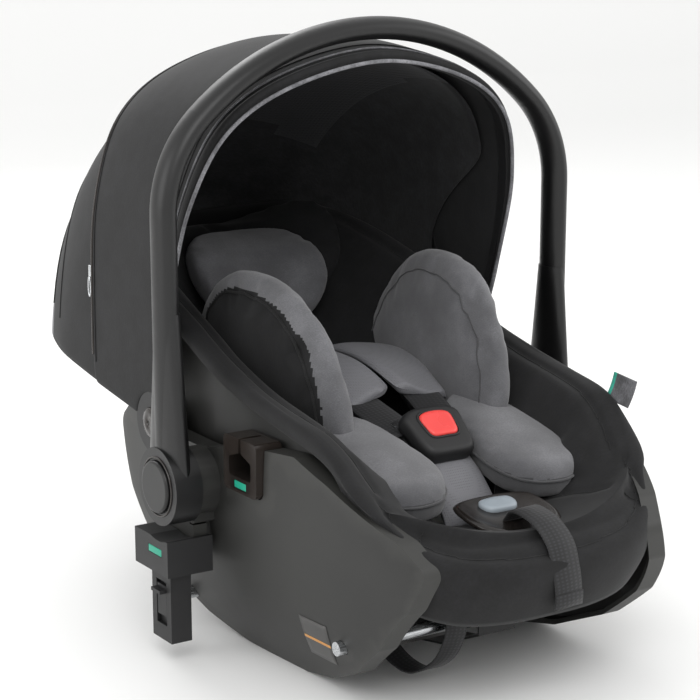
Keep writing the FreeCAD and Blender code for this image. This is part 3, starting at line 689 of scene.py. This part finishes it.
class CARSEAT_OT_hood(bpy.types.Operator):
    """Sews the hood: front section, rear section, mesh, lining, bound edge, piping and zip"""
    bl_idname = "carseat.hood"
    bl_label = "Hood"

    def execute(self, context):
        m = finishes()
        front = hood_skin("hood_front", 5, edge_angle(138), lambda r: 106.4, m["hood"])
        modifier(front, "SOLIDIFY", thickness=0.0016, offset=-1)
        modifier(front, "SUBSURF", levels=1, render_levels=1)
        finish_piece(front, "hood", "hood_fabric", "hood_front_fabric")

        rear = hood_skin("hood_rear", -4.6, lambda r: 8.0, lambda r: 63.6 + 13 * smoothstep(150, 260, r),
            m["hood"], rows=34, sag=2.5, seed=9)
        bm = bmesh.new()
        bm.from_mesh(rear.data)
        seam_y = mm(0, 262, 0).y
        bmesh.ops.bisect_plane(bm, geom=bm.verts[:] + bm.edges[:] + bm.faces[:], plane_co=(0, seam_y, 0),
            plane_no=(0, 1, 0))
        for face in bm.faces:
            face.material_index = 1 if face.calc_center_median().y > seam_y else 0
            face.smooth = True
        bm.to_mesh(rear.data)
        bm.free()
        rear.data.materials.append(m["rear_mesh"])
        modifier(rear, "SOLIDIFY", thickness=0.0014, offset=-1)
        finish_piece(rear, "shell", "hood_fabric", "hood_rear_fabric", "hood_rear_mesh")

        # lining with its ventilation window, seen from the front
        lining = hood_skin("hood_lining", -11, lambda r: 12.0,
            lambda r: 60.0 + 38 * smoothstep(120, 230, r), m["lining"], rows=30, sag=5, seed=5)
        lining.data.materials.append(m["window"])
        for face in lining.data.polygons:
            c = face.center * 1000
            if c.z > 395 and abs(c.x) < 118 and c.y < 225:
                face.material_index = 1
        modifier(lining, "SOLIDIFY", thickness=0.001, offset=-1)
        finish_piece(lining, "shell", "hood_fabric")

        # the bound front edge: a soft rolled band with piping on both sides
        rows = []
        for x, r in hood_profile(4.0):
            centre = 106.9
            row = []
            for k in range(14):
                a = math.tau * k / 14
                row.append(hood_point(x * (1 + 0.006 * math.cos(a)), r + 5.5 * math.cos(a) - 3.0,
                                      centre + math.degrees(4.6 * math.sin(a) / max(r, 110))))
            rows.append(row)
        band = grid("hood_edge_band", rows, m["hood"], around=True, caps=True)
        finish_piece(band, "hood", "piping", "hood_rim_band", fill=0.5)
        for name, grow, angle, radius in (("hood_piping_front", 0.4, 108.5, sizes().piping),
            ("hood_piping_rear", 5.6, 105.4, 0.9)):
            points = [hood_point(x, r, angle) for x, r in hood_profile(grow)]
            cord_line(name, points, radius, m["piping"], "hood", "piping")
        # stitch lines, the rear seam and the zip lie on the cloth
        for name, cloth, grow, angle, radius, key, body in (
            ("hood_stitch_front", front, 6.1, lambda r: 103.4, 0.55, "thread", "hood"),
            ("hood_stitch_zip", front, 5.9, edge_angle(132), 0.55, "thread", "hood"),
            ("hood_zip_tape", front, 5.9, edge_angle(137.4), 1.3, "trim", "hood"),
            ("hood_seam_rear", rear, -3.9, edge_angle(262), 0.9, "thread", "shell"),
            ("hood_seam_rear_top", rear, -3.9, edge_angle(230), 0.5, "thread", "shell"),
        ):
            points = [hood_point(x, r, angle(r)) for x, r in hood_profile(grow) if angle(r) > 9]
            sewn(name, cloth, points, radius, m[key], body, "hood_fabric", lift=0.4)
        self.zip_pull(m)
        for word, side in SIDES:
            disc = []
            for radius, out in ((2.0, 179.9), (9, 179.7), (13, 178.9), (14, 177.6)):
                disc.append([mm(side * out, HOOD_Y + radius * math.cos(a), HOOD_Z + radius * math.sin(a))
                             for a in (math.tau * k / 40 for k in range(40))])
            cap = grid(f"hood_pivot_cap_{word}", disc, m["trim"], around=True)
            modifier(cap, "SOLIDIFY", thickness=0.0006, offset=-1)
            finish_piece(cap, "hood", "soft_black")
        return {"FINISHED"}

    def zip_pull(self, m):
        """Slider and puller of the zip, hanging at the lower left end."""
        slider = rounded_block("zip_slider", -178.3, -175.9, 138.4, 143.4, 304, 315, 0.9, m["steel"])
        finish_piece(slider, "hood", "zip_metal", "zip_pull")
        ring = [mm(-178.4, 141 + 2.2 * math.cos(a),
            295 + 9 * math.sin(a)) for a in (math.tau * k / 32 for k in range(32))]
        cord_line("zip_puller_loop", ring, 0.8, m["steel"], "hood", "zip_metal", True)


# Rim of the cover, right half, from the front middle to the head end: x, y, z of its crest.
RIM = [(0, -316, 144), (45, -315, 145), (85, -304, 149), (116, -284, 163), (135, -258, 190), (144, -232, 213),
       (148, -205, 226), (149, -160, 234), (149, -100, 245), (148, -40, 260), (147, 20, 284), (143, 90, 308),
       (136, 160, 326), (122, 225, 336), (96, 274, 336), (52, 300, 330), (0, 308, 327)]


def rim_loop(count):
    half = [Vector(p) for p in RIM]
    other = [Vector((-p.x, p.y, p.z)) for p in half[-2:0:-1]]
    return spline(half + other, count, closed=True)


def between(y, points):
    """Straight interpolation in a list of (y, value), flat beyond its ends."""
    for (a, p), (b, q) in zip(points, points[1:]):
        if y <= b:
            return p + (q - p) * min(max((y - a) / (b - a), 0), 1)
    return points[-1][1]


def panel_half(y):
    """Half width of the side panels' outer faces near their tops."""
    return between(y, [(-330, 112), (-270, 146), (-190, 162), (-100, 171), (-20, 172), (60, 168), (130, 160)])


def panel_top(y):
    """Height of the side panels' upper edge."""
    return between(y,
        [(-322, 134), (-300, 156), (-232, 190), (-190, 206), (-150, 203), (-60, 186), (92, 192)])


def seat_height(x, y):
    """Height of the seat and back cushions under the inlay."""
    seat = 96 - 0.2157 * (y + 60)
    back = 72 + math.tan(RECLINE) * (y - 40)
    k = 16.0
    h = max(seat, back) + max(k - abs(seat - back), 0) ** 2 / (4 * k)
    return h + 0.0022 * x * x


class CARSEAT_OT_cover(bpy.types.Operator):
    """Sews the black padded cover over the shell, its rim, seams and tag"""
    bl_idname = "carseat.cover"
    bl_label = "Cover"

    def execute(self, context):
        m = finishes()
        count = 168
        crest = rim_loop(count)
        rows = []
        inner = [0.0, 0.3, 0.5, 0.62, 0.7, 0.76, 0.81, 0.85, 0.885, 0.91, 0.93, 0.945, 0.958, 0.97, 0.98,
            0.99]
        for t in inner[1:]:
            row = []
            for p in crest:
                centre = Vector((0, min(max(p.y, -170), 170), 0))
                x, y = centre.x + (p.x - centre.x) * t, centre.y + (p.y - centre.y) * t
                gap = Vector((p.x - x, p.y - y)).length
                side = smoothstep(-262, -215, p.y)
                soft = 26 + 16 * (1 - side)
                if gap < soft:
                    drop = (gap / soft) ** 2 * 7
                else:
                    drop = 7 + (gap - soft) * (1.25 * side + 0.32 * (1 - side))
                wall = p.z - drop
                base = seat_height(x, y)
                k = 18.0
                z = max(wall, base) + max(k - abs(wall - base), 0) ** 2 / (4 * k)
                z = min(z, max(p.z, base))
                z += 1.6 * noise.noise(Vector((x / 55, y / 60, z / 60)))
                row.append(mm(x, y, z))
            rows.append(row)
        # over the crest and down the outside
        for k in range(0, 13):
            row = []
            for i, p in enumerate(crest):
                ahead, behind = crest[(i + 1) % count], crest[i - 1]
                out = Vector((ahead.y - behind.y, -(ahead.x - behind.x), 0)).normalized()
                if out.dot(Vector((p.x, p.y + 20, 0))) < 0:
                    out = -out
                front = 1 - smoothstep(-285, -225, p.y)
                r = 6 + 16 * front
                skirt = 10 + 32 * front
                if k <= 7:
                    a = math.radians(96) * k / 7
                    step = Vector((out.x * r * math.sin(a), out.y * r * math.sin(a), -r * (1 - math.cos(a))))
                else:
                    u = (k - 7) / 5
                    pull = r * (1 - 0.55 * u * u)
                    step = Vector((out.x * pull, out.y * pull, -r - skirt * u))
                q = p + step
                puff = 2.5 * front * math.sin(math.pi * min(k / 12, 1))
                q += Vector((out.x * puff, out.y * puff, 0))
                if q.y > -324 and q.z < panel_top(q.y) + 6:
                    q.x = math.copysign(min(abs(q.x), panel_half(q.y) - 6.5), q.x)
                row.append(mm(*q))
            rows.append(row)
        cover = grid("seat_cover", rows, m["cover"], around=True)
        modifier(cover, "SUBSURF", levels=1, render_levels=1)
        apply_modifiers(cover)
        finish_piece(cover, "shell", "black_fabric", "front_rim_pad", "side_bolster_left",
            "side_bolster_right",
                     "seat_cushion", "back_cushion", fill=0.7)
        self.seams(cover, crest, m)
        self.tag(m)
        return {"FINISHED"}

    def seams(self, cover, crest, m):
        """Sewn seams drawn on the cover: round the front roll, down its corners and along each bolster."""
        lines = []

        def sew(name, points):
            fine = []
            for a, b in zip(points, points[1:]):
                fine += [cover.closest_point_on_mesh(mm(*a.lerp(b, t / 3)))[1] for t in range(3)]
            lines.append((name, fine))

        half = [(128, -262, 176), (112, -296, 150), (80, -318, 138), (40, -328, 134), (0, -330, 133)]
        front = half + [(-x, y, z) for x, y, z in half[-2::-1]]
        sew("cover_seam_front", spline(front, 90))
        for word, side in SIDES:
            sew(f"cover_seam_corner_{word}",
                spline([(side * 60, -236, 150), (side * 92, -272, 152), (side * 112, -296, 146),
                                                     (side * 118, -304, 122)], 50))
            sew(f"cover_seam_bolster_{word}",
                spline([(side * 126, -246, 178), (side * 134, -200, 214), (side * 136, -120, 232),
                                                      (side * 135, -30, 252), (side * 130, 80, 300),
                                                          (side * 122, 180, 322)], 90))
            sew(f"cover_seam_side_{word}",
                spline([(side * 96, -238, 150), (side * 108, -180, 150), (side * 110, -90, 150),
                                                   (side * 106, 0, 150)], 60))
        crease(cover, [p for _, line in lines for p in line], 2.6, 4.5)
        modifier(cover, "SOLIDIFY", thickness=0.004, offset=-1)
        for name, line in lines:
            sewn(name, cover, line, 0.6, m["thread"], "shell", "black_fabric", lift=-0.1)

    def tag(self, m):
        """The folded tape label sewn into the right side of the rim, without print."""
        rows = []
        for k in range(13):
            t = k / 12
            z = 214 + 24 * t
            rows.append([mm(151 + 5 * t + 1.2 * math.sin(3 * t), -238 + 30 * s - 5 * t,
                z + 3 * s) for s in (0, 0.25, 0.5, 0.75, 0.86, 1.0)])
        tag = grid("size_tape", rows, m["tag"], m["teal"])
        for face in tag.data.polygons:
            if face.index % 5 == 4:
                face.material_index = 1
        modifier(tag, "SOLIDIFY", thickness=0.001, offset=0)
        finish_piece(tag, "shell", "tag_fabric", "size_tag")


def leaf(points, count=56):
    return [(p.x, p.y) for p in spline([(u, v, 0) for u, v in points], count, closed=True)]


def two_tone(obj, test):
    """Gives the faces that pass the test the pad's second material: the black cloth on the wings and the painted
    shade on the thigh pads.
    """
    for face in obj.data.polygons:
        face.material_index = 1 if test(face.center * 1000, face.normal) else 0


class CARSEAT_OT_inlay(bpy.types.Operator):
    """Stuffs the newborn inlay: wings, thigh pads, back and crotch panels"""
    bl_idname = "carseat.inlay"
    bl_label = "Newborn inlay"

    def execute(self, context):
        m = finishes()
        wing = leaf([(-136, 150), (-150, 196), (-146, 240), (-126, 284), (-88, 316), (-40, 328), (8, 322),
            (48, 292),
                     (72, 246), (68, 196), (36, 150), (-10, 130), (-80, 128)], 72)
        middle = Vector((sum(p[0] for p in wing) / len(wing), sum(p[1] for p in wing) / len(wing)))
        thigh = leaf([(30, -176), (30, -214), (46, -240), (78, -246), (102, -230), (112, -190), (108, -140),
            (96, -100),
                      (66, -92), (40, -120)])
        for word, side in SIDES:
            def wing_middle(u, v):
                return 91 + 0.10 * (v - 230) + 0.05 * (u + 40)

            def wing_at(u, v, w, side=side):
                return mm(side * (wing_middle(u, v) - w), u, v)

            def border(y, z):
                """How far a point lies from the wing's middle, as a share of the way to its edge."""
                ray = Vector((y, z)) - middle
                turn = math.atan2(ray.y, ray.x)
                edge = min(wing,
                    key=lambda p: abs(math.remainder(math.atan2(p[1] - middle.y, p[0] - middle.x) - turn,
                        math.tau)))
                return ray.length / (Vector(edge) - middle).length
            obj = pillow(f"inlay_wing_pad_{word}", wing, wing_at, 25, 6, 1, m["melange"], m["cover"])
            swell(obj, 5.0, 4.0, 6.0)
            modifier(obj, "SUBSURF", levels=1, render_levels=1)
            apply_modifiers(obj)
            two_tone(obj, lambda c, n,
                side=side: c.x * side > wing_middle(c.y - SHIFT_Y, c.z) and border(c.y - SHIFT_Y,
                    c.z) < WING_BORDER)
            edge = [wing_at(middle.x + (p[0] - middle.x) * WING_BORDER,
                middle.y + (p[1] - middle.y) * WING_BORDER, -30) for p in wing]
            sewn(f"inlay_wing_seam_{word}", obj, edge, 1.1, m["thread"], "shell", "melange_fabric", True,
                lift=0.7)
            edge = [wing_at(middle.x + (p[0] - middle.x) * 0.9, middle.y + (p[1] - middle.y) * 0.9,
                34) for p in wing]
            sewn(f"inlay_wing_seam_inner_{word}", obj, edge, 0.7, m["melange_dark"], "shell",
                "melange_fabric", True, lift=0.6)
            finish_piece(obj, "shell", "melange_fabric", f"inlay_wing_{word}", fill=0.7)

            def thigh_top(u, v):
                return 174 + (v + 190) * 0.22 - 0.0011 * (u - 66) ** 2

            def thigh_at(u, v, w, side=side):
                return mm(side * u, v, thigh_top(u, v) + w)
            obj = pillow(f"inlay_thigh_cushion_{word}", thigh, thigh_at, 30, 8, 3, m["melange"],
                m["melange_dark"])
            swell(obj, 5.0, 4.0, 7.0)
            modifier(obj, "SUBSURF", levels=1, render_levels=1)
            apply_modifiers(obj)
            # painted shade: the lower faces of each thigh pad get the darker copy of the melange
            two_tone(obj, lambda c, n, side=side: c.z < thigh_top(side * c.x, c.y - SHIFT_Y) + 4)
            edge = [thigh_at(66 + (u - 66) * 1.12, -170 + (v + 170) * 1.12, 4) for u, v in thigh]
            sewn(f"inlay_thigh_seam_{word}", obj, edge, 1.1, m["melange_dark"], "shell", "melange_fabric",
                True, lift=0.6)
            finish_piece(obj, "shell", "melange_fabric", f"inlay_thigh_pad_{word}", fill=0.8)

        # back pad, a broad leaf with two shoulder lobes, on the backrest
        back = leaf([(0, 20), (48, 24), (74, 70), (80, 130), (74, 190), (44, 214), (0, 206), (-44, 214),
            (-74, 190),
                     (-80, 130), (-74, 70), (-48, 24)], 64)

        def back_at(u, v, w):
            y, z = back_point(v, 32 + w + 0.0016 * u * u)
            return mm(u, y, z)
        obj = pillow("inlay_back_cushion", back, back_at, 30, 9, 0, m["melange"])
        swell(obj, 6.0, 3.0, 5.0)
        modifier(obj, "SUBSURF", levels=1, render_levels=1)
        finish_piece(obj, "shell", "melange_fabric", "inlay_back_pad", fill=0.5)

        # crotch panel, in diagonal mesh, rising to the buckle
        rows = []
        path = spline([(0, -226, 132), (0, -214, 148), (0, -198, 166), (0, -184, 178), (0, -166, 186),
            (0, -150, 178), (0, -140, 150)], 24)
        for i, p in enumerate(path):
            half = 30 - 6 * i / 23
            rows.append([mm(half * math.sin(a), p.y, p.z - 7 * abs(math.sin(a)) ** 3) for a in
                         (math.pi * (k / 16 - 0.5) for k in range(17))])
        obj = grid("inlay_crotch_panel", rows, m["melange_mesh"])
        modifier(obj, "SOLIDIFY", thickness=0.006, offset=-1)
        modifier(obj, "SUBSURF", levels=1, render_levels=1)
        finish_piece(obj, "shell", "melange_fabric", "inlay_seat_panel", fill=0.4)
        return {"FINISHED"}


class CARSEAT_OT_headrest(bpy.types.Operator):
    """Stuffs the black headrest and the grey head pad that slide up the back"""
    bl_idname = "carseat.headrest"
    bl_label = "Headrest"

    def execute(self, context):
        m = finishes()
        shape = leaf([(0, 196), (60, 194), (94, 212), (106, 254), (100, 298), (64, 322), (0, 328), (-64, 322),
                      (-100, 298), (-106, 254), (-94, 212), (-60, 194)], 72)

        def head_at(u, v, w):
            y, z = back_point(v, 46 + w + 0.0058 * u * u)
            return mm(u, y, z)
        obj = pillow("headrest_cushion", shape, head_at, 40, 7, 2, m["cover"])
        swell(obj, 6.0, 4.0, 6.0)
        modifier(obj, "SUBSURF", levels=1, render_levels=1)
        finish_piece(obj, "headrest", "black_fabric", "headrest_pad", fill=0.7)

        pad = leaf([(0, 188), (42, 194), (66, 222), (70, 262), (48, 296), (0, 306), (-48, 296), (-70, 262),
                    (-66, 222), (-42, 194)], 60)

        def pad_at(u, v, w):
            y, z = back_point(v - 26 - 0.0015 * u * u, 92 + w + 0.0045 * u * u)
            return mm(u, y, z)
        obj = pillow("inlay_head_cushion", pad, pad_at, 26, 9, 0, m["melange"])
        swell(obj, 5.0, 3.0, 5.0)
        modifier(obj, "SUBSURF", levels=1, render_levels=1)
        finish_piece(obj, "headrest", "melange_fabric", "inlay_head_pad", fill=0.6)
        return {"FINISHED"}


class CARSEAT_OT_harness(bpy.types.Operator):
    """Threads the harness: shoulder pads, straps, buckle and crotch strap"""
    bl_idname = "carseat.harness"
    bl_label = "Harness"

    def execute(self, context):
        m = finishes()
        wide = sizes().webbing
        for word, side in SIDES:
            top = back_point(172, 26)
            pad_line = spline([(side * 44, *back_point(166, 50)), (side * 43, 72, 216), (side * 42, 14, 232),
                               (side * 37, -44, 230), (side * 32, -98, 214)], 40)
            path = [mm(*p) for p in pad_line]
            rows = []
            for i, p in enumerate(path):
                t = i / 39
                half = (29 + 8 * math.sin(math.pi * t) ** 0.7) / 1000
                run = (path[min(i + 1, 39)] - path[max(i - 1, 0)]).normalized()
                across = Vector((1, 0, 0)) + Vector((0, 0.12 * side * t, -0.25 * side * t))
                across = (across - run * across.dot(run)).normalized()
                up = across.cross(run) * (1 if across.cross(run).z > 0 else -1)
                row = []
                for k in range(22):
                    a = math.tau * k / 22
                    fold = 2.2 * smoothstep(0.72, 1.0, t) * math.sin(5 * a + 9 * t + side)
                    thick = 7.0 - 2.0 * smoothstep(0.8, 1.0, t)
                    wave = 0.8 * noise.noise(Vector((a * 2 + side, t * 9, 2)))
                    row.append(p + across * half * math.copysign(abs(math.cos(a)) ** 0.6, math.cos(a))
                               + up * (thick * math.sin(a) + fold + wave) / 1000)
                rows.append(row)
            pad = grid(f"shoulder_pad_cover_{word}", rows, m["melange_mesh"], around=True, caps=True)
            modifier(pad, "SUBSURF", levels=1, render_levels=1)
            finish_piece(pad, "shell", "melange_fabric", f"shoulder_pad_{word}", fill=0.5)

            strap = spline([(side * 44, *back_point(176, 10)), (side * 44, top[0], top[1]),
                (side * 43, 72, 213),
                            (side * 42, 14, 230), (side * 37, -44, 228), (side * 31, -100, 212),
                            (side * 25, -134, 201), (side * 20, -150, 197)], 60)
            band = ribbon(f"shoulder_webbing_{word}", [mm(*p) for p in strap], wide, 1.8, m["webbing"])
            finish_piece(band, "shell", "webbing", f"harness_strap_{word}")
            lap = spline([(side * 22, -148, 196), (side * 36, -138, 187), (side * 54, -112, 176),
                          (side * 68, -74, 160), (side * 74, -36, 142)], 40)
            side_line = [Vector((0.35, 0.5, 0.75)).lerp(Vector((0.1, 0.5, 0.9)), i / 39) for i in range(40)]
            band = ribbon(f"lap_webbing_{word}", [mm(*p) for p in lap], wide * 0.9, 1.8, m["webbing"],
                side_line)
            finish_piece(band, "shell", "webbing")
        crotch = spline([(0, -108, 60), (0, -108, 110), (0, -124, 146), (0, -140, 172), (0, -148, 184)], 30)
        band = ribbon("crotch_webbing", [mm(*p) for p in crotch], wide, 1.8, m["webbing"])
        finish_piece(band, "shell", "webbing", "crotch_strap")

        flap = leaf([(0, -160), (30, -156), (38, -134), (30, -112), (0, -106), (-30, -112), (-38, -134),
            (-30, -156)], 40)
        obj = pillow("crotch_pad_cushion", flap, lambda u, v,
            w: mm(u, v, 178 + w - (v + 134) * 0.25 - 0.004 * u * u),
                     6, 3, 0, m["melange"])
        modifier(obj, "SUBSURF", levels=1, render_levels=1)
        finish_piece(obj, "shell", "melange_fabric", "crotch_pad", fill=0.3)
        self.buckle(m)
        return {"FINISHED"}

    def buckle(self, m):
        """A shield-shaped housing, wider at the top, with a red press key in its face."""
        tilt = math.radians(34)
        middle = Vector((0, -167, 196))

        def at(u, v, w):
            """u across, v up the face, w out of it."""
            return mm(u, middle.y + v * math.cos(tilt) - w * math.sin(tilt),
                middle.z + v * math.sin(tilt) + w * math.cos(tilt))

        rows = []
        for w, grow in ((-9, -4), (-8, -1), (-3, 0.5), (3, 0), (6.5, -1.2), (8.2, -3.2), (8.6, -5.2),
            (8.6, -9)):
            outline = leaf([(0, -26), (18, -25), (25, -18), (28, 6), (29, 20), (20, 27), (0, 29), (-20, 27),
                (-29, 20),
                            (-28, 6), (-25, -18), (-18, -25)], 48)
            rows.append([at(u * (1 + grow / 30), v * (1 + grow / 30), w) for u, v in outline])
        shell = grid("buckle_shell", rows, m["clip"], around=True, caps=True)
        finish_piece(shell, "shell", "soft_black", "buckle_housing")
        frame_line = leaf([(0, -9), (13, -8), (16.5, 2), (16, 17), (0, 21), (-16, 17), (-16.5, 2),
            (-13, -8)], 40)
        cord_line("buckle_key_rim", [at(u, v, 8.7) for u, v in frame_line], 1.1, m["clip"], "shell",
            "soft_black", True)
        rows = []
        for w, grow in ((7.6, 1.0), (9.2, 1.0), (10.6, 0.96), (11.4, 0.86), (11.2, 0.6), (10.9, 0.3)):
            rows.append([at(u * grow * 0.92, 6 + (v - 6) * grow * 0.92, w) for u, v in frame_line])
        key = grid("buckle_key", rows, m["red"], around=True, caps=True)
        finish_piece(key, "buckle_press", "red_plastic", "buckle_button")


class CARSEAT_OT_adjuster(bpy.types.Operator):
    """Adds the harness adjuster in the front rim, its press key and its loose strap, and the loop below"""
    bl_idname = "carseat.adjuster"
    bl_label = "Harness adjuster"

    def execute(self, context):
        m = finishes()

        def top(y):
            """Height of the rim's padded top along the middle."""
            return 157 - 0.16 * max(-y - 246, 0) - 0.0042 * max(-y - 280, 0) ** 2

        outline = leaf([(0, -304), (24, -300), (38, -286), (41, -262), (34, -240), (0, -234), (-34, -240),
            (-41, -262),
                        (-38, -286), (-24, -300)], 56)
        rows = []
        for grow, lift in ((1.06, -6), (1.05, -1), (1.0, 1.2), (0.94, 1.8), (0.86, 0.6), (0.6, -1.4),
            (0.2, -2.2)):
            rows.append([mm(u * grow, -268 + (v + 268) * grow, top(-268 + (v + 268) * grow) + lift) for u,
                v in outline])
        plate = grid("adjuster_plate", rows, m["trim"], around=True, caps=True)
        modifier(plate, "SUBSURF", levels=1, render_levels=1)
        finish_piece(plate, "shell", "soft_black", "adjuster_bezel")
        key_line = leaf([(0, -263), (12, -262), (17, -255), (15, -246), (0, -243), (-15, -246), (-17, -255),
            (-12, -262)], 40)
        rows = []
        for grow, lift in ((1.0, -4), (1.0, 0.6), (0.95, 2.2), (0.8, 3.0), (0.4, 3.2)):
            rows.append([mm(u * grow, -253 + (v + 253) * grow, top(v) + lift) for u, v in key_line])
        key = grid("adjuster_key", rows, m["grey_key"], around=True, caps=True)
        finish_piece(key, "adjuster_press", "grey_button", "adjuster_button")

        line = spline([(0, -278, 150), (0, -286, 160), (0, -300, 161), (1, -318, 156), (3, -332, 143),
            (4, -339, 124),
                       (6, -341, 104), (7, -339, 90)], 44)
        turn = [Vector((1, 0.05 * math.sin(i / 6), 0.03 * math.sin(i / 9))) for i in range(44)]
        band = ribbon("adjuster_webbing", [mm(*p) for p in line], 27, 2.6, m["webbing"], turn)
        finish_piece(band, "shell", "webbing", "adjuster_strap")
        hem = ribbon("adjuster_webbing_hem", [mm(6.6, -341.8, 103), mm(6.8, -341.6, 97), mm(7, -340.6, 91)],
            27.4, 2.4, m["webbing"])
        finish_piece(hem, "shell", "webbing")

        # the carrying loop of webbing below the front edge
        loop = spline([(-72, -178, 48), (-70, -200, 24), (-62, -226, 14), (-50, -246, 26), (-44, -256, 52),
            (-42, -252, 74)], 40)
        band = ribbon("base_loop_webbing", [mm(*p) for p in loop], 22, 2.0, m["webbing"])
        finish_piece(band, "shell", "webbing")
        return {"FINISHED"}


class CARSEAT_PT_panel(bpy.types.Panel):
    """Lists the seat's pieces"""
    bl_label = "Infant car seat"
    bl_idname = "CARSEAT_PT_panel"
    bl_space_type = "VIEW_3D"
    bl_region_type = "UI"
    bl_category = "Car Seat"

    def draw(self, context):
        for operator in OPERATORS:
            self.layout.operator(operator.bl_idname)
        for group in (context.scene.car_seat_finish, context.scene.car_seat_sizes):
            for key in group.__annotations__:
                self.layout.prop(group, key)


OPERATORS = (CARSEAT_OT_stage, CARSEAT_OT_plastics, CARSEAT_OT_hood, CARSEAT_OT_cover, CARSEAT_OT_inlay,
             CARSEAT_OT_headrest, CARSEAT_OT_harness, CARSEAT_OT_adjuster)
CLASSES = (CarSeatFinish, CarSeatSizes, *OPERATORS, CARSEAT_PT_panel)


def register():
    for item in CLASSES:
        bpy.utils.register_class(item)
    bpy.types.Scene.car_seat_finish = bpy.props.PointerProperty(type=CarSeatFinish)
    bpy.types.Scene.car_seat_sizes = bpy.props.PointerProperty(type=CarSeatSizes)


def unregister():
    del bpy.types.Scene.car_seat_finish
    del bpy.types.Scene.car_seat_sizes
    for item in reversed(CLASSES):
        bpy.utils.unregister_class(item)


def main():
    register()
    for operator in OPERATORS:
        group, name = operator.bl_idname.split(".")
        getattr(getattr(bpy.ops, group), name)()


if __name__ == "__main__":
    main()
